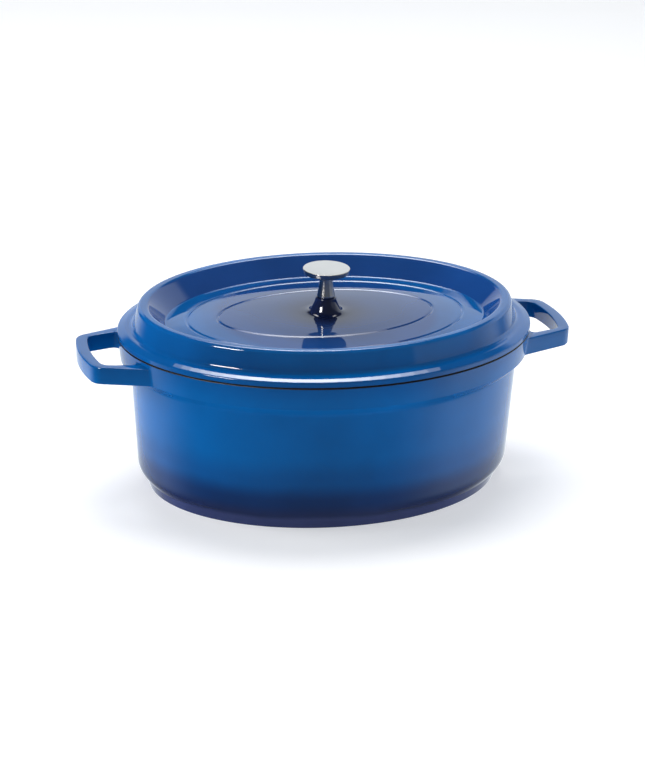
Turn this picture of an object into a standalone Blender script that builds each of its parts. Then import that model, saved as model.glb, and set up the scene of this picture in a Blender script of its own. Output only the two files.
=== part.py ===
"""Oval cast iron dutch oven, 33 cm, with its lid on.

The pot, with its two loop handles, is one casting, and the lid is another. A turned steel knob is held
on the lid by a screw from below, through a flat washer and a split spring washer.

Every outline of the castings is a parallel curve of one base ellipse, at a distance called its offset
(negative is inward). The origin is the middle of the foot, on the surface that the pot stands on,
+X runs along the handles and +Z is up.
"""

import math

import bmesh
import bpy
from mathutils import Vector

MM = 0.001
GAP = 0.3 * MM  # left between pieces that touch

# Base ellipse: the lid's flange, seen from above
HALF_LENGTH = 165.0 * MM
HALF_WIDTH = 131.1 * MM
OVAL_SEGMENTS = 72
ROUND_SEGMENTS = 32

# Pot, from the foot up
FOOT_HEIGHT = 8.1 * MM
FOOT_RECESS = 1.2 * MM
FLOOR_TOP = 5.7 * MM
BAND_BOTTOM = 106.0 * MM
RIM_TOP = 124.8 * MM
BOTTOM_RADIUS = 22.0 * MM

# Handles, each a bar bent into a loop; the edges of the loop are nearly straight at the sides
HANDLE_TOP = 120.5 * MM
HANDLE_BOTTOM = 106.4 * MM
HANDLE_BOW = 3.5 * MM  # how far the end falls back at HANDLE_BOW_AT from the middle
HANDLE_BOW_AT = 30.0 * MM
HANDLE_ROOT = 4.5 * MM  # how far the bars are let into the wall
HANDLE_TOP_BEVEL = 1.0 * MM
HANDLE_BOTTOM_BEVEL = 1.5 * MM
HANDLE_OUTER_DRAFT = 0.3 * MM
HANDLE_INNER_DRAFT = 1.3 * MM
SIDE_AT = 190.0 * MM  # where the half widths below are measured
# reach from the middle, half width at SIDE_AT, widening for each unit inward, corner radius
HANDLE_OUTER_EDGE = (197.5 * MM, 36.5 * MM, 0.36, 12.5 * MM)
HANDLE_INNER_EDGE = (188.2 * MM, 30.2 * MM, 0.24, 8.0 * MM)
CORNER_STEPS = 5
END_STEPS = 4

# Lid
FLANGE_BOTTOM = RIM_TOP + GAP
FLANGE_TOP = 130.2 * MM
CREST_TOP = 148.0 * MM
LID_FLOOR = 134.8 * MM  # at the foot of the raised rim's inner side
FIRST_RING = 135.2 * MM
SECOND_RING = 136.75 * MM
DOME_TOP = 138.2 * MM  # at the boss
GROOVE_HALF_WIDTH = 1.5 * MM
GROOVE_DEPTH = 0.5 * MM
UNDERSIDE_STEP = 1.0 * MM
LIP_BOTTOM = 120.0 * MM
UNDERSIDE = 131.1 * MM
BOSS_TOP = 150.5 * MM
BOSS_TOP_RADIUS = 8.2 * MM
BOSS_EDGE = 0.9 * MM  # bevel round its top
BOSS_FLARE = 5.0 * MM  # how much wider the boss grows on its way down
BOSS_FILLET = 3.6 * MM  # and how much more at its very base
BOSS_STEPS = 8
SCREW_HOLE_RADIUS = 3.4 * MM
WASHER_POCKET_RADIUS = 9.5 * MM
WASHER_POCKET_TOP = 137.4 * MM

# Knob
KNOB_BASE = BOSS_TOP + GAP
KNOB_BASE_RADIUS = 7.1 * MM
KNOB_NECK_RADIUS = 5.0 * MM
KNOB_UNDERSIDE = 170.0 * MM
KNOB_TOP = 174.0 * MM
KNOB_RADIUS = 18.6 * MM
KNOB_EDGE = 0.5 * MM
KNOB_TAPER = 0.9 * MM  # how much smaller the disc is at its lower edge
KNOB_HOLE_RADIUS = 3.0 * MM
KNOB_HOLE_TOP = 163.5 * MM
STEM_STEPS = 6

# Fasteners under the lid
FLAT_WASHER_THICKNESS = 1.2 * MM
FLAT_WASHER_RADIUS = 7.5 * MM
SPRING_WASHER_THICKNESS = 1.6 * MM
SPRING_WASHER_RADIUS = 5.6 * MM
SPRING_WASHER_SPLIT = math.radians(14.0)
WASHER_HOLE_RADIUS = 3.1 * MM
SCREW_RADIUS = 2.7 * MM
SCREW_TIP = 162.0 * MM
HEAD_RADIUS = 5.2 * MM
HEAD_HEIGHT = 3.4 * MM
SLOT_WIDTH = 1.4 * MM
SLOT_DEPTH = 1.5 * MM

SMOOTH_ANGLE = math.radians(35.0)


def clear_scene():
    for thing in list(bpy.data.objects):
        bpy.data.objects.remove(thing, do_unlink=True)


def material(name, colour, roughness, metallic):
    made = bpy.data.materials.new(name)
    made.use_nodes = True
    shader = made.node_tree.nodes["Principled BSDF"]
    shader.inputs["Base Color"].default_value = (*colour, 1.0)
    shader.inputs["Roughness"].default_value = roughness
    shader.inputs["Metallic"].default_value = metallic
    return made


def oval_ring(offset, z):
    """A parallel curve of the base ellipse, moved outward by offset, at height z."""
    points = []
    for step in range(OVAL_SEGMENTS):
        angle = 2 * math.pi * step / OVAL_SEGMENTS
        across = Vector((HALF_LENGTH * math.cos(angle), HALF_WIDTH * math.sin(angle), z))
        outward = Vector((HALF_WIDTH * math.cos(angle), HALF_LENGTH * math.sin(angle), 0.0))
        points.append(across + outward.normalized() * offset)
    return points


def round_ring(radius, z, segments=ROUND_SEGMENTS):
    points = []
    for step in range(segments):
        angle = 2 * math.pi * step / segments
        points.append(Vector((radius * math.cos(angle), radius * math.sin(angle), z)))
    return points


def quarter_curve(start, end, steps):
    """Points on a quarter ellipse from start to end, each (offset, z), without the first one.

    It sets off upright and arrives level.
    """
    points = []
    for step in range(1, steps + 1):
        angle = 0.5 * math.pi * step / steps
        offset = start[0] + (end[0] - start[0]) * (1 - math.cos(angle))
        z = start[1] + (end[1] - start[1]) * math.sin(angle)
        points.append((offset, z))
    return points


def boss_radius(share):
    """The boss's radius at a share of the way down from its top to its base."""
    return BOSS_TOP_RADIUS + BOSS_FLARE * share**1.4 + BOSS_FILLET * share**20


def stem_radius(share):
    """The knob stem's radius at a share of the way down from its neck to its base."""
    return KNOB_NECK_RADIUS + (KNOB_BASE_RADIUS - KNOB_NECK_RADIUS) * share**2.5


def skin(rings, closed):
    """A mesh through rings of equally many points.

    The last ring joins the first if closed, and otherwise both ends are capped.
    """
    mesh = bmesh.new()
    rows = [[mesh.verts.new(point) for point in ring] for ring in rings]
    pairs = list(zip(rows, rows[1:]))
    if closed:
        pairs.append((rows[-1], rows[0]))
    for lower, upper in pairs:
        for index in range(len(lower)):
            after = (index + 1) % len(lower)
            mesh.faces.new((lower[index], lower[after], upper[after], upper[index]))
    if not closed:
        mesh.faces.new(rows[0])
        mesh.faces.new(rows[-1])
    bmesh.ops.recalc_face_normals(mesh, faces=mesh.faces)
    return mesh


def add_object(name, mesh, finish):
    data = bpy.data.meshes.new(name)
    mesh.to_mesh(data)
    mesh.free()
    data.shade_smooth()
    data.set_sharp_from_angle(angle=SMOOTH_ANGLE)
    if finish:
        data.materials.append(finish)
    made = bpy.data.objects.new(name, data)
    bpy.context.scene.collection.objects.link(made)
    return made


def boolean(target, other, operation):
    """Join other to target or cut it out; other stays in the scene as a guide only."""
    modifier = target.modifiers.new(other.name, "BOOLEAN")
    modifier.operation = operation
    modifier.solver = "EXACT"
    modifier.object = other
    other.hide_render = True
    other.display_type = "WIRE"


def pot_profile():
    """(offset, z) down the inside of the foot, up the outside, over the rim and down to the floor."""
    outside = [
        (-35.0 * MM, FOOT_RECESS),
        (-32.5 * MM, 0.0),
        (-24.2 * MM, 0.0),
        (-23.5 * MM, 0.8 * MM),
        (-21.6 * MM, FOOT_HEIGHT),
        (-19.2 * MM, 11.5 * MM),
        (-16.9 * MM, 16.5 * MM),
        (-15.4 * MM, 23.0 * MM),
        (-14.5 * MM, 31.0 * MM),
        (-12.6 * MM, 55.0 * MM),
        (-11.1 * MM, 75.0 * MM),
        (-10.0 * MM, BAND_BOTTOM - 6.6 * MM),
        (-2.7 * MM, BAND_BOTTOM),
        (-1.8 * MM, BAND_BOTTOM + 1.0 * MM),
        (0.0, RIM_TOP - 1.0 * MM),
        (-0.9 * MM, RIM_TOP),
    ]
    inside = [
        (-7.6 * MM, RIM_TOP),
        (-8.5 * MM, RIM_TOP - 1.0 * MM),
        (-9.2 * MM, BAND_BOTTOM + 4.0 * MM),
        (-13.8 * MM, BAND_BOTTOM - 4.0 * MM),
        (-16.4 * MM, 55.0 * MM),
    ]
    corner_top = (-18.3 * MM, FLOOR_TOP + BOTTOM_RADIUS)
    corner_end = (corner_top[0] - BOTTOM_RADIUS, FLOOR_TOP)
    inside.append(corner_top)
    inside += quarter_curve(corner_top, corner_end, 4)
    return outside + inside


def line_meets_oval(start, direction, inset):
    """Where a level line from start meets the base ellipse shrunk by inset on each half axis."""
    half_length = HALF_LENGTH - inset
    half_width = HALF_WIDTH - inset
    a = (direction.x / half_length) ** 2 + (direction.y / half_width) ** 2
    b = 2 * (start.x * direction.x / half_length**2 + start.y * direction.y / half_width**2)
    c = (start.x / half_length) ** 2 + (start.y / half_width) ** 2 - 1
    distance = (-b - math.sqrt(b * b - 4 * a * c)) / (2 * a)
    return start + direction * distance


def handle_edge(reach, half_width, spread, radius):
    """Half of one edge of the +X handle, in plan, from the wall to the middle of the tip."""
    along = Vector((-1.0, spread)).normalized()
    corner = Vector((SIDE_AT, half_width))
    for _ in range(4):
        corner.x = reach - HANDLE_BOW * (corner.y / HANDLE_BOW_AT) ** 2
        corner.y = half_width + spread * (SIDE_AT - corner.x)
    end_slope = Vector((2 * HANDLE_BOW * corner.y / HANDLE_BOW_AT**2, -1.0)).normalized()
    half_angle = 0.5 * along.angle(end_slope)
    arc_start = corner + along * radius / math.tan(half_angle)
    centre = corner + (along + end_slope).normalized() * radius / math.sin(half_angle)
    points = [line_meets_oval(arc_start, along, HANDLE_ROOT)]
    first = math.atan2(arc_start.y - centre.y, arc_start.x - centre.x)
    sweep = math.pi - 2 * half_angle
    for step in range(CORNER_STEPS + 1):
        angle = first - sweep * step / CORNER_STEPS
        points.append(centre + Vector((math.cos(angle), math.sin(angle))) * radius)
    arc_end = points[-1]
    for step in range(1, END_STEPS + 1):
        share = 1 - step / END_STEPS
        x = reach - (reach - arc_end.x) * share**2
        points.append(Vector((x, arc_end.y * share)))
    return points


def bar_section(outer, inner):
    """The bar's section between two plan points, with bevelled edges and faces that lean inward."""
    width = (inner - outer).length
    across = (inner - outer) / width
    low_outer = HANDLE_OUTER_DRAFT
    low_inner = width - HANDLE_INNER_DRAFT
    corners = [
        (low_outer, HANDLE_BOTTOM + HANDLE_BOTTOM_BEVEL),
        (low_outer + HANDLE_BOTTOM_BEVEL, HANDLE_BOTTOM),
        (low_inner - HANDLE_BOTTOM_BEVEL, HANDLE_BOTTOM),
        (low_inner, HANDLE_BOTTOM + HANDLE_BOTTOM_BEVEL),
        (width, HANDLE_TOP - HANDLE_TOP_BEVEL),
        (width - HANDLE_TOP_BEVEL, HANDLE_TOP),
        (HANDLE_TOP_BEVEL, HANDLE_TOP),
        (0.0, HANDLE_TOP - HANDLE_TOP_BEVEL),
    ]
    return [Vector((*(outer + across * reach), z)) for reach, z in corners]


def handle_loop(side):
    """The U-shaped bar of one handle, swept from wall to wall; side is 1 for +X and -1 for -X."""
    outer = handle_edge(*HANDLE_OUTER_EDGE)
    inner = handle_edge(*HANDLE_INNER_EDGE)
    flip = Vector((1.0, -1.0))
    outer += [point * flip for point in reversed(outer[:-1])]
    inner += [point * flip for point in reversed(inner[:-1])]
    turn = Vector((side, side, 1.0))
    rings = [[point * turn for point in bar_section(*pair)] for pair in zip(outer, inner)]
    return skin(rings, closed=False)


def make_pot(finish):
    rings = [oval_ring(offset, z) for offset, z in pot_profile()]
    pot = add_object("pot_body", skin(rings, closed=False), finish)
    for side, name in ((1, "handle_right"), (-1, "handle_left")):
        loop = add_object(name, handle_loop(side), None)
        boolean(pot, loop, "UNION")
    return pot


def groove(offset, z):
    """(offset, z) across one of the shallow grooves that ring the lid."""
    return [(offset + GROOVE_HALF_WIDTH, z), (offset, z - GROOVE_DEPTH), (offset - GROOVE_HALF_WIDTH, z)]


def lid_top_profile():
    """(offset, z) from the flange's lower edge, over the raised rim and the two grooves to the dome."""
    outside = [
        (-0.9 * MM, FLANGE_BOTTOM),
        (0.0, FLANGE_BOTTOM + 1.0 * MM),
        (0.0, FLANGE_TOP - 1.6 * MM),
        (-1.6 * MM, FLANGE_TOP),
        (-8.6 * MM, FLANGE_TOP + 0.7 * MM),
        (-11.2 * MM, FLANGE_TOP + 1.7 * MM),
        (-12.3 * MM, FLANGE_TOP + 4.2 * MM),
        (-14.8 * MM, CREST_TOP - 2.6 * MM),
        (-15.7 * MM, CREST_TOP - 0.8 * MM),
        (-17.4 * MM, CREST_TOP),
        (-19.6 * MM, CREST_TOP),
        (-22.0 * MM, CREST_TOP - 1.2 * MM),
        (-36.4 * MM, LID_FLOOR + 0.7 * MM),
        (-38.0 * MM, LID_FLOOR),
    ]
    return outside + groove(-54.1 * MM, FIRST_RING) + groove(-78.2 * MM, SECOND_RING)


def lid_lip_profile():
    """(offset, z) under the lid, from inside the raised rim, down round the locating lip and out."""
    return [
        (-35.6 * MM, UNDERSIDE + 0.6 * MM),
        (-21.4 * MM, CREST_TOP - 5.0 * MM),
        (-19.2 * MM, CREST_TOP - 5.0 * MM),
        (-16.6 * MM, UNDERSIDE),
        (-14.4 * MM, FLANGE_BOTTOM),
        (-13.8 * MM, LIP_BOTTOM + 0.6 * MM),
        (-13.0 * MM, LIP_BOTTOM),
        (-11.6 * MM, LIP_BOTTOM),
        (-10.9 * MM, LIP_BOTTOM + 0.8 * MM),
        (-10.0 * MM, FLANGE_BOTTOM),
    ]


def make_lid(finish):
    rings = [oval_ring(offset, z) for offset, z in lid_top_profile()]
    shoulder = BOSS_TOP - BOSS_EDGE
    shares = [1 - step / BOSS_STEPS for step in range(BOSS_STEPS + 1)]
    boss = [(boss_radius(share), shoulder + (DOME_TOP - shoulder) * share) for share in shares]
    boss.append((BOSS_TOP_RADIUS - BOSS_EDGE, BOSS_TOP))
    hole = [
        (SCREW_HOLE_RADIUS, BOSS_TOP),
        (SCREW_HOLE_RADIUS, WASHER_POCKET_TOP),
        (WASHER_POCKET_RADIUS, WASHER_POCKET_TOP),
        (WASHER_POCKET_RADIUS + 1.5 * MM, UNDERSIDE + UNDERSIDE_STEP),
    ]
    rings += [round_ring(radius, z, OVAL_SEGMENTS) for radius, z in boss + hole]
    rings.append(oval_ring(-79.6 * MM, UNDERSIDE + UNDERSIDE_STEP))
    rings.append(oval_ring(-38.0 * MM, UNDERSIDE))
    rings += [oval_ring(offset, z) for offset, z in lid_lip_profile()]
    return add_object("lid", skin(rings, closed=True), finish)


def make_knob(finish):
    neck = KNOB_UNDERSIDE - 1.0 * MM
    profile = [(KNOB_HOLE_RADIUS, KNOB_HOLE_TOP), (KNOB_HOLE_RADIUS, KNOB_BASE)]
    for step in range(STEM_STEPS + 1):
        share = 1 - step / STEM_STEPS
        profile.append((stem_radius(share), neck + (KNOB_BASE - neck) * share))
    profile += [
        (KNOB_NECK_RADIUS + 1.0 * MM, KNOB_UNDERSIDE),
        (KNOB_RADIUS - KNOB_TAPER - KNOB_EDGE, KNOB_UNDERSIDE),
        (KNOB_RADIUS - KNOB_TAPER, KNOB_UNDERSIDE + KNOB_EDGE),
        (KNOB_RADIUS, KNOB_TOP - KNOB_EDGE),
        (KNOB_RADIUS - KNOB_EDGE, KNOB_TOP),
    ]
    rings = [round_ring(radius, z) for radius, z in profile]
    return add_object("lid_knob", skin(rings, closed=False), finish)


def make_flat_washer(top, finish):
    bottom = top - FLAT_WASHER_THICKNESS
    corners = [(WASHER_HOLE_RADIUS, top), (FLAT_WASHER_RADIUS, top)]
    corners += [(radius, bottom) for radius, _ in reversed(corners)]
    rings = [round_ring(radius, z) for radius, z in corners]
    add_object("flat_washer", skin(rings, closed=True), finish)
    return bottom


def make_spring_washer(top, finish):
    """A washer with a split across one side, drawn flat as the tightened screw holds it."""
    bottom = top - SPRING_WASHER_THICKNESS
    sections = []
    for step in range(ROUND_SEGMENTS + 1):
        angle = SPRING_WASHER_SPLIT / 2 + (2 * math.pi - SPRING_WASHER_SPLIT) * step / ROUND_SEGMENTS
        spoke = Vector((math.cos(angle), math.sin(angle), 0.0))
        inner = spoke * WASHER_HOLE_RADIUS
        outer = spoke * SPRING_WASHER_RADIUS
        corners = [(inner, bottom), (outer, bottom), (outer, top), (inner, top)]
        sections.append([Vector((point.x, point.y, z)) for point, z in corners])
    add_object("spring_washer", skin(sections, closed=False), finish)
    return bottom


def make_screw(seat, finish):
    """A slotted pan-head screw whose head bears upward on seat."""
    head_bottom = seat - HEAD_HEIGHT
    profile = [
        (HEAD_RADIUS - 2.4 * MM, head_bottom),
        (HEAD_RADIUS - 0.9 * MM, head_bottom + 0.5 * MM),
        (HEAD_RADIUS, head_bottom + 1.6 * MM),
        (HEAD_RADIUS, seat),
        (SCREW_RADIUS, seat),
        (SCREW_RADIUS, SCREW_TIP - 1.0 * MM),
        (SCREW_RADIUS - 0.8 * MM, SCREW_TIP),
    ]
    rings = [round_ring(radius, z) for radius, z in profile]
    screw = add_object("knob_screw", skin(rings, closed=False), finish)
    slot = bmesh.new()
    bmesh.ops.create_cube(slot, size=1.0)
    size = Vector((3 * HEAD_RADIUS, SLOT_WIDTH, 2 * SLOT_DEPTH))
    bmesh.ops.scale(slot, vec=size, verts=slot.verts)
    bmesh.ops.translate(slot, vec=Vector((0.0, 0.0, head_bottom)), verts=slot.verts)
    boolean(screw, add_object("screw_slot", slot, None), "DIFFERENCE")
    return screw


def main():
    clear_scene()
    enamel = material("blue_enamel", (0.012, 0.075, 0.28), 0.12, 0.0)
    lid_enamel = material("lid_enamel", (0.014, 0.085, 0.30), 0.12, 0.0)
    knob_steel = material("knob_steel", (0.62, 0.61, 0.59), 0.25, 1.0)
    fastener_steel = material("fastener_steel", (0.45, 0.45, 0.46), 0.35, 1.0)
    make_pot(enamel)
    make_lid(lid_enamel)
    make_knob(knob_steel)
    seat = make_flat_washer(WASHER_POCKET_TOP - GAP, fastener_steel)
    seat = make_spring_washer(seat - GAP, fastener_steel)
    make_screw(seat - GAP, fastener_steel)


main()
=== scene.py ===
"""The looks of an oval cast iron dutch oven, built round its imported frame.

The two castings and the knob are remade here as fine meshes with real fillets, in graduated glossy
enamel, matt black enamel and turned steel. Everything is in metres, +Z up, +X along the handles.
"""

import math

import bmesh
import bpy
from mathutils import Matrix, Vector


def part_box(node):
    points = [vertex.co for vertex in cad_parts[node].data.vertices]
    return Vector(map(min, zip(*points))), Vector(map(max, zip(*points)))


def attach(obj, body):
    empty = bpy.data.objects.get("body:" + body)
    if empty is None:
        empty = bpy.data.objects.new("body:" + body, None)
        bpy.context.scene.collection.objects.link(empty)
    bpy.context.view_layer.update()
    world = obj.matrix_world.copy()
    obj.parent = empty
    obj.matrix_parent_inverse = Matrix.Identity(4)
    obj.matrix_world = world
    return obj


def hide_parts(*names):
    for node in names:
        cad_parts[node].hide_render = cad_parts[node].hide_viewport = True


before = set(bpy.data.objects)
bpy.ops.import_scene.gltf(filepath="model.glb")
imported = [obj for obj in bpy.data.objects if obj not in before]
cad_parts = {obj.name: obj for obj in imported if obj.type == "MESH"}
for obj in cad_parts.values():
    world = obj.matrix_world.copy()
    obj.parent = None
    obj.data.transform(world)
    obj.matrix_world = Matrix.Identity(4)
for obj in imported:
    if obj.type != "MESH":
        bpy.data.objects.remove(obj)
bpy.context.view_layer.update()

MM = 0.001
DEG = math.pi / 180

# The frame's own sizes
LID_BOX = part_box("lid")
POT_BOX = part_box("pot_body")
KNOB_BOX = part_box("lid_knob")
HALF_LENGTH = LID_BOX[1][0]
HALF_WIDTH = LID_BOX[1][1]
RIM_TOP = POT_BOX[1][2]
HANDLE_REACH = POT_BOX[1][0]
BOSS_TOP = LID_BOX[1][2]
KNOB_BASE = KNOB_BOX[0][2]
KNOB_TOP = KNOB_BOX[1][2] - 0.001 * MM  # a hair low, so that rounding keeps it inside the frame
KNOB_RADIUS = KNOB_BOX[1][0]

# Fineness
OVAL_SEGMENTS = 256
ROUND_SEGMENTS = 128
ARC_STEP = 9 * DEG
SMOOTH_ANGLE = 32 * DEG
STRAIGHT = 0.5 * DEG  # a corner that turns less than this isn't rounded
CORNER_REACH = 0.49  # the most of a straight that one rounded corner takes up
HOLD = 0.25 * MM  # from the end of a long straight to the point that keeps it flat
MIDDLE_SHARE = 0.1  # the size of the innermost ring of a flat middle, as a share of its outline
CLOSING_RADIUS = 0.4 * MM  # the innermost ring of a turned piece

# Pot
FOOT_HEIGHT = 8.1 * MM
FLOOR_TOP = 5.7 * MM
BAND_FOOT = (-1.93 * MM, 106.7 * MM)  # offset and height of the band's lower edge
INNER_FLOOR_RADIUS = 22.0 * MM
BLACK_RIM = 0.9 * MM  # the rim's bare black band, measured down from its top

# Handles
HANDLE_WIDTH = 9.3 * MM  # of the bar across the tip
HANDLE_TOP = 120.5 * MM
HANDLE_BOTTOM = 106.4 * MM
HANDLE_BOW = 3.5 * MM  # how far the end falls back at HANDLE_BOW_AT from the middle
HANDLE_BOW_AT = 30.0 * MM
HANDLE_TOP_EDGE = 1.0 * MM
HANDLE_BOTTOM_EDGE = 1.6 * MM
HANDLE_TOP_FILLET = 1.8 * MM  # where the bar's top runs up to the band
HANDLE_SINK = 0.15 * MM  # how far the fillets run into the wall
HANDLE_ROOT = 4.0 * MM  # how far the bars are let into the wall
SIDE_AT = 190.0 * MM  # where the half widths below are measured
# half width at SIDE_AT, widening for each unit inward, corner radius, fillet radius at the wall
OUTER_EDGE = (36.5 * MM, 0.36, 12.5 * MM, 5.5 * MM)
INNER_EDGE = (30.2 * MM, 0.24, 8.0 * MM, 3.5 * MM)
INNER_REACH = HANDLE_REACH - HANDLE_WIDTH
OUTER_DRAFT = 0.3 * MM
INNER_DRAFT = 1.3 * MM
FILLET_STEPS = 8
SIDE_STEPS = 3
CORNER_STEPS = 12
END_STEPS = 8
EDGE_STEPS = 5
BISECTIONS = 40
CORNER_ROUNDS = 4  # rounds in which the corner of side and end settles

# Lid
LIP_BOTTOM = LID_BOX[0][2]
LIP_DEPTH = 5.1 * MM
FLANGE_BOTTOM = LIP_BOTTOM + LIP_DEPTH
BLACK_EDGE = 0.5 * MM  # how far the underside's black shows round the flange's lower edge
CREST_TOP = 148.4 * MM
LID_FLOOR = 133.6 * MM  # at the foot of the raised rim's inner side
FIRST_RING = (-54.1, 135.4)  # offset and height of the grooves, in millimetres
SECOND_RING = (-78.2, 136.75)
GROOVE_HALF_WIDTH = 1.5
GROOVE_DEPTH = 0.6
DOME_EDGE = (SECOND_RING[0] * MM - 3.0 * MM, SECOND_RING[1] * MM + 0.1 * MM)
DOME_TOP = 138.2 * MM
DOME_STEPS = 12
UNDERSIDE = 131.1 * MM
UNDERSIDE_STEP = 1.0 * MM
BOSS_TOP_RADIUS = 8.2 * MM
BOSS_SHOULDER = 1.3 * MM
BOSS_FLARE = 5.0 * MM
BOSS_FILLET = 3.8 * MM
BOSS_SPACING = 0.7  # below 1 the steps crowd towards the boss's foot
BOSS_FLARE_POWER = 1.4
BOSS_FILLET_POWER = 20
BOSS_STEPS = 28
SCREW_HOLE_RADIUS = 3.4 * MM
WASHER_POCKET_RADIUS = 9.5 * MM
WASHER_POCKET_TOP = 137.4 * MM
HOLE_EDGE = 0.3 * MM
POCKET_EDGE = 0.6 * MM

# Knob
KNOB_BASE_RADIUS = 7.1 * MM
KNOB_NECK_RADIUS = 5.0 * MM
KNOB_UNDERSIDE = 170.0 * MM
KNOB_TAPER = 0.9 * MM
KNOB_HOLE_RADIUS = 3.0 * MM
KNOB_HOLE_TOP = 163.5 * MM
KNOB_HOLE_TIP = 1.2 * MM
KNOB_BASE_BAND = 0.9 * MM  # height of the nearly straight band at the stem's foot
KNOB_BASE_DRAFT = 0.02 * MM
NECK_DROP = 2.2 * MM  # from the disc's underside down to the end of the stem's curve
STEM_POWER = 1.8
STEM_STEPS = 20
SATIN_DEPTH = 0.2 * MM  # the turned finish covers what is less than this below the top

# Colours
COBALT = (0.001, 0.104, 0.350)
# The next blue is painted shade: darker on the pot's band under the lid's flange and at the lid's outer
# edge, where less light falls.
RIM_SHADE_BLUE = (0.002, 0.085, 0.300)
DEEP_COBALT = (0.003, 0.078, 0.275)
NAVY = (0.006, 0.034, 0.135)
MIDNIGHT = (0.014, 0.026, 0.092)
# The next blue is a painted reflection: lighter low on the foot, where the pale floor is mirrored.
FOOT_REFLECTION_BLUE = (0.042, 0.058, 0.165)
BOSS_BLUE = (0.011, 0.019, 0.068)
PLATEAU = (0.007, 0.050, 0.200)
# The next blue is painted shade on the lid's inner walls, which face its middle and get little light
# bounced from the floor; INWARD sets where it fades in.
INNER_SHADE_BLUE = (0.009, 0.058, 0.235)
INWARD = (-0.25, -0.60)  # the outward part of the surface's normal as INNER_SHADE_BLUE fades in
# up the pot, as a share of the rim's height
POT_BLUES = [
    (0.05, FOOT_REFLECTION_BLUE),
    (0.10, MIDNIGHT),
    (0.20, NAVY),
    (0.34, DEEP_COBALT),
    (0.52, COBALT),
    (0.88, COBALT),
    (1.0, RIM_SHADE_BLUE),
]
# out over the lid, as a share of its half width
LID_BLUES = [
    (0.12, BOSS_BLUE),
    (0.38, NAVY),
    (0.62, PLATEAU),
    (0.71, DEEP_COBALT),
    (0.84, COBALT),
    (0.92, COBALT),
    (1.0, RIM_SHADE_BLUE),
]
POT_WANDER = 0.03  # how far the pot's bands of colour wander up and down, as the same share
LID_WANDER = 0.015
ENAMEL_DRIFT = 0.10  # how much lighter and darker the enamel gets with its thickness
BLACK_TONES = [(0.35, (0.006, 0.006, 0.007)), (0.62, (0.011, 0.011, 0.012)), (0.70, (0.030, 0.030, 0.032))]
SATIN_TONES = [(0.3, (0.64, 0.62, 0.60)), (0.7, (0.665, 0.645, 0.625))]
# The stem's polished steel is coloured darker than the top's satin as painted shade, for the dark lid and
# room that its sides mirror; the polish itself is real.
SHADED_POLISHED_STEEL = (0.46, 0.44, 0.41, 1.0)
SATIN_SMOOTHER = -0.14  # what the turned finish adds to the steel's roughness
FASTENER_TONES = [(0.3, (0.42, 0.42, 0.43)), (0.7, (0.56, 0.56, 0.57))]
FLOOR_TONES = [(0.3, (0.59, 0.59, 0.60)), (0.7, (0.61, 0.61, 0.61))]
FLOOR_GLOW = (0.94, 0.96, 1.0, 1.0)
FLOOR_GLOW_STRENGTH = 0.53
FLOOR_HALF_SIZE = 6.0

# Camera
CAMERA_AZIMUTH = -15.92 * DEG
CAMERA_ELEVATION = 21.70 * DEG
CAMERA_ROLL = 1.11 * DEG
CAMERA_DISTANCE = 2.0353
CAMERA_TARGET = Vector((-0.00127, 0.00036, 0.07357))
CAMERA_LENS = 118.66
CAMERA_SENSOR = 36.0

# Lights; an azimuth of 0 is the camera's side
LIGHT_DISTANCE = 2.0
LIGHT_TARGET = Vector((0.0, 0.0, 0.08))
BACK_STEPS = 8  # the light behind and above, as ellipses that fade outward
BACK_AZIMUTH = 183 * DEG
BACK_ELEVATION = 57 * DEG
BACK_WIDTH = 1.32
BACK_HEIGHT = 1.08
BACK_CORE = 0.42  # the innermost ellipse, both ways
BACK_SPACING = 0.02  # they stand one behind the other, because level ones would hide each other
BACK_STRENGTH = 14.0
# name, use, azimuth, elevation, width, height, strength, shape
SOFTBOXES = [
    ("back_top_fill", "fill", 184 * DEG, 73 * DEG, 1.45, 1.00, 10.2, "ELLIPSE"),
    ("left_front", "gloss", -43 * DEG, 33 * DEG, 0.55, 0.42, 40.0, "RECTANGLE"),
    ("left_side", "fill", -90 * DEG, 12 * DEG, 1.2, 1.2, 9.6, "RECTANGLE"),
    ("right_side", "fill", 95 * DEG, 10 * DEG, 1.2, 1.2, 3.0, "RECTANGLE"),
]

# Surroundings. A side is (azimuth, from, to): it fades in as a direction's part towards that azimuth
# goes from one to the other, and azimuth 0 is away from the camera. A top or foot is (from, to) in
# the direction's upward part.
SWEEP_SIDE = (45 * DEG, 0.14, 0.20)
SWEEP_TOP = (0.45, 0.37)
SWEEP_FOOT = (-0.12, -0.04)
SWEEP_BRIGHT_SIDE = (20 * DEG, 0.25, 0.80)
SWEEP_DIM = 0.35  # the sweep's brightness away from its bright side
PEAK_SIDE = (30 * DEG, 0.60, 0.76)  # where the sweep reaches higher
PEAK_TOP = (0.57, 0.50)
GROUND_SIDE = (8 * DEG, -0.55, 0.10)
GROUND_TOP = (-0.08, -0.20)
GROUND_FOOT = (-0.80, -0.35)
ROOM_AZIMUTH = 140 * DEG
ROOM_LEVEL = 0.10
ROOM_SWING = 0.09
ROOM_COLOUR = (0.93, 1.0, 1.05, 1.0)


# ---------------------------------------------------------------- mesh helpers


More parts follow.
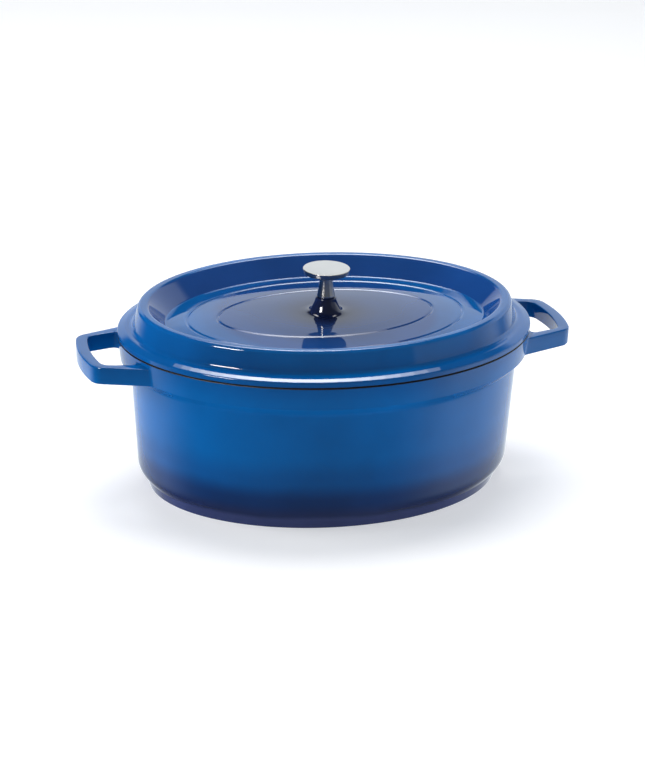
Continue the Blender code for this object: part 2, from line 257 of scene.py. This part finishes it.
def turned(corner, before, after, radius):
    """Points on the arc of this radius that rounds a corner between its two neighbours."""
    corner = Vector(corner)
    back = Vector(before) - corner
    ahead = Vector(after) - corner
    half_angle = 0.5 * back.angle(ahead)
    turn = math.pi - 2 * half_angle
    if radius == 0 or turn < STRAIGHT:
        return [corner]
    reach = min(radius / math.tan(half_angle), CORNER_REACH * back.length, CORNER_REACH * ahead.length)
    radius = reach * math.tan(half_angle)
    middle = (back.normalized() + ahead.normalized()).normalized()
    centre = corner + middle * radius / math.sin(half_angle)
    start = corner + back.normalized() * reach - centre
    end = corner + ahead.normalized() * reach - centre
    steps = max(2, math.ceil(turn / ARC_STEP))
    points = []
    for step in range(steps + 1):
        share = step / steps
        spoke = start * math.sin((1 - share) * turn) + end * math.sin(share * turn)
        points.append(centre + spoke / math.sin(turn))
    return points


def rounded(corners, flat=False):
    """An outline of (across, z, radius) corners in millimetres as points, with its corners rounded.

    flat adds a point close to each end of the long straights, so that they look flat when shaded smooth.
    """
    plain = [Vector((across, z)) * MM for across, z, _ in corners]
    points = [plain[0]]
    for index in range(1, len(corners) - 1):
        radius = corners[index][2] * MM
        corner = turned(plain[index], plain[index - 1], plain[index + 1], radius)
        gap = corner[0] - points[-1]
        if flat and gap.length > 4 * HOLD:
            points += [points[-1] + gap.normalized() * HOLD, corner[0] - gap.normalized() * HOLD]
        points += corner
    points.append(plain[-1])
    return points


def oval_point(angle, offset):
    """A point in plan on the curve at this offset from the lid's outer ellipse."""
    across = Vector((HALF_LENGTH * math.cos(angle), HALF_WIDTH * math.sin(angle)))
    outward = Vector((HALF_WIDTH * math.cos(angle), HALF_LENGTH * math.sin(angle)))
    return across + outward.normalized() * offset


def oval_ring(offset, z):
    step = 2 * math.pi / OVAL_SEGMENTS
    return [Vector((*oval_point(step * index, offset), z)) for index in range(OVAL_SEGMENTS)]


def round_ring(radius, z, segments=ROUND_SEGMENTS):
    ring = []
    for index in range(segments):
        angle = 2 * math.pi / segments * index
        ring.append(Vector((radius * math.cos(angle), radius * math.sin(angle), z)))
    return ring


def middle_ring(ring):
    """The ring drawn in towards the middle, to close a flat face."""
    return [Vector((point.x * MIDDLE_SHARE, point.y * MIDDLE_SHARE, point.z)) for point in ring]


def skin(rings, closed=False, blue=None):
    """A solid through rings of equally many points, its last ring joined to its first if closed.

    Otherwise a face fills each end. Where blue, a range of band numbers, is given, the bands outside
    it and the last end's face take material slot 1.
    """
    mesh = bmesh.new()
    rows = [[mesh.verts.new(point) for point in ring] for ring in rings]
    pairs = list(zip(rows, rows[1:]))
    if closed:
        pairs.append((rows[-1], rows[0]))
    for number, (lower, upper) in enumerate(pairs):
        for index in range(len(lower)):
            after = (index + 1) % len(lower)
            face = mesh.faces.new((lower[index], lower[after], upper[after], upper[index]))
            if blue is not None and number not in blue:
                face.material_index = 1
    if not closed:
        mesh.faces.new(rows[0])
        last = mesh.faces.new(rows[-1])
        last.material_index = 0 if blue is None else 1
    bmesh.ops.recalc_face_normals(mesh, faces=mesh.faces)
    return mesh


def smooth(data):
    data.shade_smooth()
    data.set_sharp_from_angle(angle=SMOOTH_ANGLE)


def add_object(name, mesh, finishes):
    data = bpy.data.meshes.new(name)
    mesh.to_mesh(data)
    mesh.free()
    for finish in finishes:
        data.materials.append(finish)
    smooth(data)
    made = bpy.data.objects.new(name, data)
    bpy.context.scene.collection.objects.link(made)
    return made


def join_solids(target, others):
    """Unite the other objects with the target and remove them."""
    for other in others:
        modifier = target.modifiers.new(other.name, "BOOLEAN")
        modifier.operation = "UNION"
        modifier.solver = "EXACT"
        modifier.object = other
    bpy.context.view_layer.update()
    seen = target.evaluated_get(bpy.context.evaluated_depsgraph_get())
    data = bpy.data.meshes.new_from_object(seen)
    target.modifiers.clear()
    target.data = data
    for other in others:
        bpy.data.objects.remove(other, do_unlink=True)
    smooth(data)


# ---------------------------------------------------------------- materials


class Nodes:
    """Short ways to add nodes to a tree."""

    def __init__(self, tree):
        self.tree = tree

    def node(self, kind, **settings):
        made = self.tree.nodes.new(kind)
        for key, value in settings.items():
            setattr(made, key, value)
        return made

    def put(self, value, socket):
        """Link another node's output to a socket, or set the socket to a plain value."""
        if isinstance(value, bpy.types.NodeSocket):
            self.tree.links.new(value, socket)
        else:
            socket.default_value = value

    def math(self, operation, first, second):
        made = self.node("ShaderNodeMath", operation=operation)
        self.put(first, made.inputs[0])
        self.put(second, made.inputs[1])
        return made.outputs["Value"]

    def vector(self, operation, first, second=None):
        """A vector operation; its result is a vector or, for LENGTH and DOT_PRODUCT, a number."""
        made = self.node("ShaderNodeVectorMath", operation=operation)
        self.put(first, made.inputs[0])
        if second is not None:
            self.put(second, made.inputs[1])
        return made.outputs["Value" if operation in ("LENGTH", "DOT_PRODUCT") else "Vector"]

    def height(self, vector):
        made = self.node("ShaderNodeSeparateXYZ")
        self.put(vector, made.inputs["Vector"])
        return made.outputs["Z"]

    def fade(self, value, low, high):
        """Rise smoothly from 0 to 1 as the value goes from low to high."""
        made = self.node("ShaderNodeMapRange", interpolation_type="SMOOTHSTEP")
        made.inputs["From Min"].default_value = low
        made.inputs["From Max"].default_value = high
        self.put(value, made.inputs["Value"])
        return made.outputs["Result"]

    def spread(self, value, low, high):
        """Map a 0 to 1 value to low to high."""
        made = self.node("ShaderNodeMapRange")
        made.inputs["To Min"].default_value = low
        made.inputs["To Max"].default_value = high
        self.put(value, made.inputs["Value"])
        return made.outputs["Result"]


class Paint(Nodes):
    """A Principled material; textures are measured in metres on the object."""

    def __init__(self, name):
        self.material = bpy.data.materials.new(name)
        self.material.use_nodes = True
        super().__init__(self.material.node_tree)
        self.shader = self.tree.nodes["Principled BSDF"]
        coordinates = self.node("ShaderNodeTexCoord").outputs
        self.place = coordinates["Object"]
        self.normal = coordinates["Normal"]

    def plan(self, scale=1.0):
        """The place seen from above, times the scale."""
        return self.vector("MULTIPLY", self.place, (scale, scale, 0.0))

    def noise(self, scale, detail, stretch=(1.0, 1.0, 1.0)):
        mapping = self.node("ShaderNodeMapping")
        mapping.inputs["Scale"].default_value = stretch
        self.put(self.place, mapping.inputs["Vector"])
        made = self.node("ShaderNodeTexNoise")
        made.inputs["Scale"].default_value = scale
        made.inputs["Detail"].default_value = detail
        self.put(mapping.outputs["Vector"], made.inputs["Vector"])
        return made.outputs["Fac"]

    def rings(self, scale, detail):
        """Noise that changes only with the distance from the Z axis."""
        made = self.node("ShaderNodeTexNoise", noise_dimensions="1D")
        made.inputs["Scale"].default_value = scale
        made.inputs["Detail"].default_value = detail
        self.put(self.vector("LENGTH", self.plan()), made.inputs["W"])
        return made.outputs["Fac"]

    def ramp(self, value, stops):
        made = self.node("ShaderNodeValToRGB")
        made.color_ramp.interpolation = "EASE"
        elements = made.color_ramp.elements
        while len(elements) < len(stops):
            elements.new(0.5)
        for element, (position, colour) in zip(elements, stops):
            element.position = position
            element.color = (*colour, 1.0)
        self.put(value, made.inputs["Fac"])
        return made.outputs["Color"]

    def mix(self, share, first, second, blend="MIX"):
        made = self.node("ShaderNodeMix", data_type="RGBA", blend_type=blend)
        self.put(share, made.inputs["Factor"])
        self.put(first, made.inputs["A"])
        self.put(second, made.inputs["B"])
        return made.outputs["Result"]

    def bump(self, texture, depth, under=None):
        made = self.node("ShaderNodeBump")
        made.inputs["Strength"].default_value = 1.0
        made.inputs["Distance"].default_value = depth
        self.put(texture, made.inputs["Height"])
        if under is not None:
            self.put(under, made.inputs["Normal"])
        return made.outputs["Normal"]

    def set(self, **values):
        """Set or link the shader's inputs; an underscore stands for a space in their names."""
        for key, value in values.items():
            self.put(value, self.shader.inputs[key.replace("_", " ")])


def enamel_gloss(paint):
    """The glassy surface that both castings share: faint ripple, fine pits, smooth coat."""
    ripple = paint.bump(paint.noise(scale=90.0, detail=1.0), depth=0.02 * MM)
    pits = paint.bump(paint.noise(scale=420.0, detail=2.0), depth=0.004 * MM, under=ripple)
    roughness = paint.spread(paint.noise(scale=60.0, detail=3.0), 0.30, 0.42)
    paint.set(Normal=pits, Coat_Normal=ripple, Roughness=roughness)
    paint.set(IOR=1.5, Specular_IOR_Level=0.0, Coat_Weight=1.0, Coat_Roughness=0.02, Coat_IOR=1.5)


def tinted(paint, colour):
    """The colour with a slow drift in its depth, as where the enamel lies thicker."""
    tones = [(0.3, (1 - ENAMEL_DRIFT,) * 3), (0.7, (1 + ENAMEL_DRIFT,) * 3)]
    drift = paint.ramp(paint.noise(scale=14.0, detail=3.0), tones)
    return paint.mix(1.0, colour, drift, blend="MULTIPLY")


def wandering(paint, level, amount):
    """The level with a slow wander either way by up to the amount."""
    wander = paint.spread(paint.noise(scale=9.0, detail=2.0), -amount, amount)
    return paint.math("ADD", level, wander)


def pot_enamel():
    """Graduated blue: navy towards the foot, cobalt higher up; the darker blue on the band under the lid's
    flange is painted shade, and the lighter blue low on the foot is a painted reflection of the floor.
    """
    paint = Paint("pot_enamel")
    level = paint.math("DIVIDE", paint.height(paint.place), RIM_TOP)
    colour = paint.ramp(wandering(paint, level, POT_WANDER), POT_BLUES)
    paint.set(Base_Color=tinted(paint, colour))
    enamel_gloss(paint)
    return paint.material


def shaded_inside(paint, colour):
    """The colour, turning to a darker blue as painted shade where the surface leans towards the lid's
    middle.
    """
    outward = paint.vector("NORMALIZE", paint.plan())
    lean = paint.vector("DOT_PRODUCT", outward, paint.normal)
    return paint.mix(paint.fade(lean, *INWARD), colour, (*INNER_SHADE_BLUE, 1.0))


def lid_enamel():
    """Graduated blue: cobalt towards the edge, navy in the middle; the darker blue at the outer edge and
    on the raised rim's inner walls is painted shade.
    """
    paint = Paint("lid_enamel")
    level = paint.vector("LENGTH", paint.plan(1 / HALF_WIDTH))
    colour = paint.ramp(wandering(paint, level, LID_WANDER), LID_BLUES)
    paint.set(Base_Color=tinted(paint, shaded_inside(paint, colour)))
    enamel_gloss(paint)
    return paint.material


def black_enamel():
    """The inside and the rim: matt black enamel with a fine sandy texture."""
    paint = Paint("black_enamel")
    sand = paint.noise(scale=1400.0, detail=2.0)
    lumps = paint.bump(paint.noise(scale=300.0, detail=2.0), depth=0.08 * MM)
    roughness = paint.spread(paint.noise(scale=200.0, detail=3.0), 0.42, 0.62)
    paint.set(Base_Color=paint.ramp(sand, BLACK_TONES), Roughness=roughness)
    paint.set(Normal=paint.bump(sand, depth=0.05 * MM, under=lumps), IOR=1.5)
    return paint.material


def knob_steel():
    """Stainless steel: the top is turned to a satin of fine rings, the rest is polished and coloured
    darker, as painted shade for the dark lid its sides mirror.
    """
    paint = Paint("knob_steel")
    top = paint.math("GREATER_THAN", paint.height(paint.place), KNOB_TOP - SATIN_DEPTH)
    rings = paint.math("MULTIPLY", paint.rings(scale=5200.0, detail=2.0), top)
    smear = paint.noise(scale=160.0, detail=3.0, stretch=(1.0, 1.0, 0.2))
    satin = paint.math("MULTIPLY", top, SATIN_SMOOTHER)
    roughness = paint.math("ADD", paint.spread(smear, 0.20, 0.28), satin)
    colour = paint.mix(top, SHADED_POLISHED_STEEL, paint.ramp(smear, SATIN_TONES))
    paint.set(Base_Color=colour, Roughness=roughness, Normal=paint.bump(rings, depth=0.03 * MM))
    paint.set(Metallic=1.0, Anisotropic=0.85, Anisotropic_Rotation=0.25)
    return paint.material


def fastener_steel():
    """Plain steel, slightly cloudy."""
    paint = Paint("fastener_steel")
    cloud = paint.noise(scale=500.0, detail=4.0)
    grain = paint.bump(paint.noise(scale=3000.0, detail=2.0), depth=0.01 * MM)
    paint.set(Base_Color=paint.ramp(cloud, FASTENER_TONES), Roughness=paint.spread(cloud, 0.24, 0.42))
    paint.set(Normal=grain, Metallic=1.0)
    return paint.material


# ---------------------------------------------------------------- pot


def pot_outside():
    """(offset, z) from under the middle of the foot up to the rim's outer edge."""
    return rounded([
        (-62.0, 1.2, 0.0),
        (-35.0, 1.2, 1.0),
        (-32.5, 0.0, 1.0),
        (-24.2, 0.0, 1.1),
        (-21.6, FOOT_HEIGHT / MM, 2.5),
        (-15.4, 16.0, 24.0),
        (-10.0, 99.4, 6.0),
        (BAND_FOOT[0] / MM, BAND_FOOT[1] / MM, 1.2),
        (0.0, RIM_TOP / MM, 1.0),
        (-3.0, RIM_TOP / MM, 0.0),
    ])


def pot_inside():
    """(offset, z) from the rim down the inside to the floor."""
    return rounded([
        (-5.0, RIM_TOP / MM, 0.0),
        (-8.5, RIM_TOP / MM, 1.0),
        (-9.2, 110.0, 6.0),
        (-13.8, 102.0, 6.0),
        (-16.4, 55.0, 60.0),
        (-18.8, FLOOR_TOP / MM, INNER_FLOOR_RADIUS / MM),
        (-62.0, FLOOR_TOP / MM, 0.0),
    ])


def wall_offset(z):
    """The band's offset at height z, between its lower edge and the rim."""
    share = (z - BAND_FOOT[1]) / (RIM_TOP - BAND_FOOT[1])
    return BAND_FOOT[0] * (1 - share)


def find(value, low, high):
    """Where value, a function that changes sign between low and high, is zero."""
    rising = value(high) > 0
    for _ in range(BISECTIONS):
        middle = 0.5 * (low + high)
        if (value(middle) > 0) == rising:
            high = middle
        else:
            low = middle
    return 0.5 * (low + high)


def arc(centre, start, end, steps):
    """Points round centre from start to end, the short way."""
    first = math.atan2(start.y - centre.y, start.x - centre.x)
    sweep = math.atan2(end.y - centre.y, end.x - centre.x) - first
    sweep = (sweep + math.pi) % (2 * math.pi) - math.pi
    radius = (start - centre).length
    points = []
    for step in range(steps + 1):
        angle = first + sweep * step / steps
        points.append(centre + Vector((math.cos(angle), math.sin(angle))) * radius)
    return points


def handle_half(edge, reach, inset, z, outer):
    """Half of one edge line of the +X handle in plan, from inside the wall to the middle of the tip.

    inset moves the line into the bar; the line's fillet at the wall follows the wall at height z.
    """
    half_width, spread, corner_radius, fillet_radius = edge
    side = 1 if outer else -1
    slant = math.hypot(1.0, spread)
    half_width -= side * inset * slant
    reach -= side * inset
    corner_radius -= side * inset
    fillet_radius += inset
    outward = Vector((spread, 1.0)) / slant * side
    along = Vector((-1.0, spread)) / slant
    on_side = Vector((SIDE_AT, half_width))
    wall = wall_offset(z) - HANDLE_SINK

    def off_line(angle):
        return (oval_point(angle, wall + fillet_radius) - on_side).dot(outward) - fillet_radius

    angle = find(off_line, 0.0, 1.0)
    centre = oval_point(angle, wall + fillet_radius)
    points = [oval_point(angle, wall - HANDLE_ROOT)]
    points += arc(centre, oval_point(angle, wall), centre - outward * fillet_radius, FILLET_STEPS)

    corner = Vector(on_side)
    for _ in range(CORNER_ROUNDS):
        corner.x = reach - HANDLE_BOW * (corner.y / HANDLE_BOW_AT) ** 2
        corner.y = half_width + spread * (SIDE_AT - corner.x)
    end_slope = Vector((2 * HANDLE_BOW * corner.y / HANDLE_BOW_AT**2, -1.0)).normalized()
    half_angle = 0.5 * along.angle(end_slope)
    arc_start = corner + along * corner_radius / math.tan(half_angle)
    arc_end = corner + end_slope * corner_radius / math.tan(half_angle)
    centre = corner + (along + end_slope).normalized() * corner_radius / math.sin(half_angle)
    side_start = points[-1]
    for step in range(1, SIDE_STEPS):
        points.append(side_start.lerp(arc_start, step / SIDE_STEPS))
    points += arc(centre, arc_start, arc_end, CORNER_STEPS)
    for step in range(1, END_STEPS + 1):
        share = 1 - step / END_STEPS
        points.append(Vector((reach - (reach - arc_end.x) * share**2, arc_end.y * share)))
    return points


def handle_levels():
    """The bar's section as (outer, inset, z) levels: up the outer side and down the inner side."""
    levels = []
    for outer, draft in ((True, OUTER_DRAFT), (False, INNER_DRAFT)):
        side = []
        for step in range(EDGE_STEPS + 1):
            turn = 0.5 * math.pi * step / EDGE_STEPS
            inset = draft + HANDLE_BOTTOM_EDGE * (1 - math.sin(turn))
            side.append((outer, inset, HANDLE_BOTTOM + HANDLE_BOTTOM_EDGE * (1 - math.cos(turn))))
        for step in range(EDGE_STEPS + 1):
            turn = 0.5 * math.pi * step / EDGE_STEPS
            inset = HANDLE_TOP_EDGE * (1 - math.cos(turn))
            side.append((outer, inset, HANDLE_TOP - HANDLE_TOP_EDGE * (1 - math.sin(turn))))
        levels += side if outer else reversed(side)
    return levels


def rise(point):
    """How far the bar's top rises at this point in plan, close to the band."""
    angle = math.atan2(point.y / HALF_WIDTH, point.x / HALF_LENGTH)
    foot = oval_point(angle, wall_offset(HANDLE_TOP) - HANDLE_SINK)
    outward = Vector((HALF_WIDTH * math.cos(angle), HALF_LENGTH * math.sin(angle))).normalized()
    gap = min(max((point - foot).dot(outward), 0.0), HANDLE_TOP_FILLET)
    return HANDLE_TOP_FILLET - math.sqrt(HANDLE_TOP_FILLET**2 - (HANDLE_TOP_FILLET - gap) ** 2)


def make_handle(side, finish):
    """One loop handle; side is 1 for +X and -1 for -X."""
    rows = []
    for outer, inset, z in handle_levels():
        edge, reach = (OUTER_EDGE, HANDLE_REACH) if outer else (INNER_EDGE, INNER_REACH)
        half = handle_half(edge, reach, inset, z, outer)
        path = half + [Vector((point.x, -point.y)) for point in reversed(half[:-1])]
        row = []
        for point in path:
            lift = rise(Vector((point.x, abs(point.y)))) if z > HANDLE_TOP - 2 * HANDLE_TOP_EDGE else 0.0
            row.append(Vector((point.x * side, point.y * side, z + lift)))
        rows.append(row)
    rings = [list(ring) for ring in zip(*rows)]
    return add_object("handle", skin(rings), [finish])


def make_pot(enamel, black):
    outside = pot_outside()
    inside = pot_inside()
    rings = [oval_ring(*point) for point in outside + inside]
    rings = [middle_ring(rings[0]), *rings, middle_ring(rings[-1])]
    blue = range(sum(point.y < RIM_TOP - BLACK_RIM for point in outside) + 1)
    pot = add_object("pot", skin(rings, blue=blue), [enamel, black])
    join_solids(pot, [make_handle(side, enamel) for side in (1, -1)])
    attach(pot, "pot")
    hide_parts("pot_body")


# ---------------------------------------------------------------- lid


def groove(offset, z):
    """Corners across one of the shallow grooves that ring the lid."""
    return [
        (offset + GROOVE_HALF_WIDTH, z - 0.05, 1.8),
        (offset, z - GROOVE_DEPTH, 0.9),
        (offset - GROOVE_HALF_WIDTH, z + 0.05, 1.8),
    ]


def lid_top():
    """(offset, z) from under the flange, over the raised rim and the two grooves, to the dome."""
    flange = FLANGE_BOTTOM / MM
    return rounded([
        (-1.4, flange, 0.0),
        (0.0, flange, 1.0),
        (0.0, 129.45, 1.4),
        (-5.8, 131.22, 9.0),
        (-11.57, 131.5, 3.6),
        (-16.4, CREST_TOP / MM, 3.5),
        (-23.6, CREST_TOP / MM, 4.5),
        (-37.3, LID_FLOOR / MM, 2.0),
        *groove(*FIRST_RING),
        *groove(*SECOND_RING),
        (DOME_EDGE[0] / MM, DOME_EDGE[1] / MM, 0.0),
    ], flat=True)


def dome_rings():
    """Rings from the dome's oval edge to the boss's round foot."""
    edge = oval_ring(*DOME_EDGE)
    foot = round_ring(BOSS_TOP_RADIUS + BOSS_FLARE + BOSS_FILLET, DOME_TOP, OVAL_SEGMENTS)
    rings = []
    for step in range(1, DOME_STEPS):
        share = 1 - step / DOME_STEPS
        ring = [inner.lerp(outer, share) for inner, outer in zip(foot, edge)]
        for point in ring:
            point.z = DOME_TOP - (DOME_TOP - DOME_EDGE[1]) * share**2
        rings.append(ring)
    return rings


def boss_outline():
    """(radius, z) of the boss in the middle, from its foot up to its top face."""
    shoulder = BOSS_TOP - BOSS_SHOULDER
    points = []
    for step in range(BOSS_STEPS + 1):
        share = (1 - step / BOSS_STEPS) ** BOSS_SPACING
        flare = BOSS_FLARE * share**BOSS_FLARE_POWER
        fillet = BOSS_FILLET * share**BOSS_FILLET_POWER
        points.append((BOSS_TOP_RADIUS + flare + fillet, shoulder + (DOME_TOP - shoulder) * share))
    for step in range(1, EDGE_STEPS + 1):
        turn = 0.5 * math.pi * step / EDGE_STEPS
        radius = BOSS_TOP_RADIUS - BOSS_SHOULDER * (1 - math.cos(turn))
        points.append((radius, shoulder + BOSS_SHOULDER * math.sin(turn)))
    return points


def lid_hole():
    """(radius, z) down the screw's hole and out through the washer's pocket."""
    return [
        (SCREW_HOLE_RADIUS + HOLE_EDGE, BOSS_TOP),
        (SCREW_HOLE_RADIUS, BOSS_TOP - HOLE_EDGE),
        (SCREW_HOLE_RADIUS, WASHER_POCKET_TOP),
        (WASHER_POCKET_RADIUS - POCKET_EDGE, WASHER_POCKET_TOP),
        (WASHER_POCKET_RADIUS, WASHER_POCKET_TOP - POCKET_EDGE),
        (WASHER_POCKET_RADIUS + 1.2 * MM, UNDERSIDE + UNDERSIDE_STEP + 0.4 * MM),
        (WASHER_POCKET_RADIUS + 2.2 * MM, UNDERSIDE + UNDERSIDE_STEP),
    ]


def lid_underside():
    """(offset, z) under the lid from the middle out, round the locating lip, to under the flange."""
    under = UNDERSIDE / MM
    lip = LIP_BOTTOM / MM
    flange = FLANGE_BOTTOM / MM
    return rounded([
        (-84.0, under + UNDERSIDE_STEP / MM, 0.0),
        (-79.6, under + UNDERSIDE_STEP / MM, 1.0),
        (-77.6, under, 1.0),
        (-36.6, under, 3.0),
        (-21.0, 143.2, 3.0),
        (-18.9, 143.2, 2.0),
        (-16.2, 131.0, 4.0),
        (-13.8, lip, 1.0),
        (-10.9, lip, 1.0),
        (-10.0, flange, 0.8),
        (-3.0, flange, 0.0),
    ])


def make_lid(enamel, black):
    top = lid_top()
    boss = boss_outline()
    rings = [oval_ring(*point) for point in top] + dome_rings()
    blue_rings = len(rings) + len(boss)
    rings += [round_ring(radius, z, OVAL_SEGMENTS) for radius, z in boss + lid_hole()]
    rings += [oval_ring(*point) for point in lid_underside()]
    black_edge = sum(point.y < FLANGE_BOTTOM + BLACK_EDGE for point in top[:len(top) // 2])
    lid = add_object("lid_casting", skin(rings, True, range(black_edge, blue_rings)), [enamel, black])
    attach(lid, "lid")
    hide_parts("lid")


# ---------------------------------------------------------------- knob and fasteners


def knob_outline():
    """(radius, z) from inside the screw's hole, out and up the stem and over the disc."""
    base = KNOB_BASE / MM
    under = KNOB_UNDERSIDE / MM
    top = KNOB_TOP / MM
    edge = KNOB_RADIUS / MM
    middle = CLOSING_RADIUS / MM
    hole_radius = KNOB_HOLE_RADIUS / MM
    band_radius = KNOB_BASE_RADIUS - KNOB_BASE_DRAFT
    neck = KNOB_UNDERSIDE - NECK_DROP
    start = KNOB_BASE + KNOB_BASE_BAND
    hole = rounded([
        (middle, (KNOB_HOLE_TOP + KNOB_HOLE_TIP) / MM, 0.0),
        (hole_radius, KNOB_HOLE_TOP / MM, 0.0),
        (hole_radius, base, 0.4),
        (KNOB_BASE_RADIUS / MM, base, 0.4),
        (band_radius / MM, start / MM, 0.0),
    ])
    stem = []
    for step in range(1, STEM_STEPS + 1):
        share = 1 - step / STEM_STEPS
        radius = KNOB_NECK_RADIUS + (band_radius - KNOB_NECK_RADIUS) * share**STEM_POWER
        stem.append(Vector((radius, neck + (start - neck) * share)))
    disc = rounded([
        (KNOB_NECK_RADIUS / MM, neck / MM, 0.0),
        (KNOB_NECK_RADIUS / MM + 0.1, under, 1.6),
        (edge - KNOB_TAPER / MM, under, 0.6),
        (edge, top, 0.45),
        (middle, top, 0.0),
    ])
    return hole + stem + disc[1:]


def make_knob(steel):
    rings = [round_ring(radius, z) for radius, z in knob_outline()]
    knob = add_object("knob", skin(rings), [steel])
    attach(knob, "lid")
    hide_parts("lid_knob")


def finish_fasteners(steel):
    for name in ("knob_screw", "spring_washer", "flat_washer"):
        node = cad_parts[name]
        for place in node.material_slots:
            place.material = steel


# ---------------------------------------------------------------- stage


def make_floor():
    mesh = bmesh.new()
    bmesh.ops.create_grid(mesh, x_segments=8, y_segments=8, size=FLOOR_HALF_SIZE)
    paint = Paint("floor_white")
    colour = paint.ramp(paint.noise(scale=1.5, detail=2.0), FLOOR_TONES)
    paint.set(Base_Color=colour, Roughness=0.9, Specular_IOR_Level=0.0)
    paint.set(Emission_Color=FLOOR_GLOW, Emission_Strength=FLOOR_GLOW_STRENGTH)
    floor = add_object("floor", mesh, [paint.material])
    floor.visible_glossy = False


def heading(azimuth, elevation):
    """The direction from the object at this azimuth, which is 0 on the -Y side, and elevation."""
    level = math.cos(elevation)
    return Vector((math.sin(azimuth) * level, -math.cos(azimuth) * level, math.sin(elevation)))


def aim(spot, target, roll=0.0):
    """A world matrix at spot whose -Z axis points to target."""
    turn = (target - spot).to_track_quat("-Z", "Y").to_matrix().to_4x4()
    return Matrix.Translation(spot) @ turn @ Matrix.Rotation(roll, 4, "Z")


def softbox(name, use, azimuth, elevation, width, height, strength, shape, distance=LIGHT_DISTANCE):
    """An area light aimed at the object; its use is to make highlights (gloss) or soft light (fill)."""
    light = bpy.data.lights.new(name, "AREA")
    light.shape = shape
    light.size = width
    light.size_y = height
    share = math.pi / 4 if shape == "ELLIPSE" else 1.0
    light.energy = strength * width * height * share * math.pi
    holder = bpy.data.objects.new(name, light)
    bpy.context.scene.collection.objects.link(holder)
    holder.visible_glossy = use == "gloss"
    holder.visible_diffuse = use == "fill"
    place = LIGHT_TARGET + heading(azimuth + CAMERA_AZIMUTH, elevation) * distance
    holder.matrix_world = aim(place, LIGHT_TARGET)


def make_lights():
    for step in range(BACK_STEPS):
        share = step / (BACK_STEPS - 1)
        width = BACK_WIDTH + (BACK_CORE - BACK_WIDTH) * share
        height = BACK_HEIGHT + (BACK_CORE - BACK_HEIGHT) * share
        softbox(
            f"back_top_{step}", "gloss", BACK_AZIMUTH, BACK_ELEVATION, width, height,
            BACK_STRENGTH / BACK_STEPS, "ELLIPSE", LIGHT_DISTANCE + BACK_SPACING * step,
        )
    for settings in SOFTBOXES:
        softbox(*settings)


def make_world():
    """Soft surroundings: a white sweep behind the object and to its right, pale ground and a dim room."""
    world = bpy.data.worlds.new("studio")
    bpy.context.scene.world = world
    world.use_nodes = True
    nodes = Nodes(world.node_tree)
    direction = nodes.node("ShaderNodeTexCoord").outputs["Generated"]
    up = nodes.height(direction)

    def towards(azimuth):
        """How far a direction points to this azimuth, from -1 to 1."""
        angle = azimuth - CAMERA_AZIMUTH
        return nodes.vector("DOT_PRODUCT", direction, (math.sin(angle), math.cos(angle), 0.0))

    def patch(side, top):
        """A soft-edged patch of surroundings, from its side and its top."""
        azimuth, low, high = side
        return nodes.math("MULTIPLY", nodes.fade(towards(azimuth), low, high), nodes.fade(up, *top))

    sweep = nodes.math("MAXIMUM", patch(SWEEP_SIDE, SWEEP_TOP), patch(PEAK_SIDE, PEAK_TOP))
    sweep = nodes.math("MULTIPLY", sweep, nodes.fade(up, *SWEEP_FOOT))
    azimuth, low, high = SWEEP_BRIGHT_SIDE
    brightness = nodes.spread(nodes.fade(towards(azimuth), low, high), SWEEP_DIM, 1.0)
    sweep = nodes.math("MULTIPLY", sweep, brightness)
    ground = nodes.math("MULTIPLY", patch(GROUND_SIDE, GROUND_TOP), nodes.fade(up, *GROUND_FOOT))
    room = nodes.math("ADD", nodes.math("MULTIPLY", towards(ROOM_AZIMUTH), ROOM_SWING), ROOM_LEVEL)
    total = nodes.math("ADD", nodes.math("ADD", sweep, ground), room)
    background = nodes.tree.nodes["Background"]
    nodes.put(total, background.inputs["Strength"])
    nodes.put(ROOM_COLOUR, background.inputs["Color"])


def make_camera():
    data = bpy.data.cameras.new("camera")
    data.sensor_width = CAMERA_SENSOR
    data.lens = CAMERA_LENS
    camera = bpy.data.objects.new("camera", data)
    bpy.context.scene.collection.objects.link(camera)
    place = CAMERA_TARGET + heading(CAMERA_AZIMUTH, CAMERA_ELEVATION) * CAMERA_DISTANCE
    camera.matrix_world = aim(place, CAMERA_TARGET, CAMERA_ROLL)
    bpy.context.scene.camera = camera


def main():
    make_camera()
    black = black_enamel()
    make_pot(pot_enamel(), black)
    make_lid(lid_enamel(), black)
    make_knob(knob_steel())
    finish_fasteners(fastener_steel())
    make_floor()
    make_world()
    make_lights()
    bpy.context.scene.view_settings.view_transform = "Standard"


main()
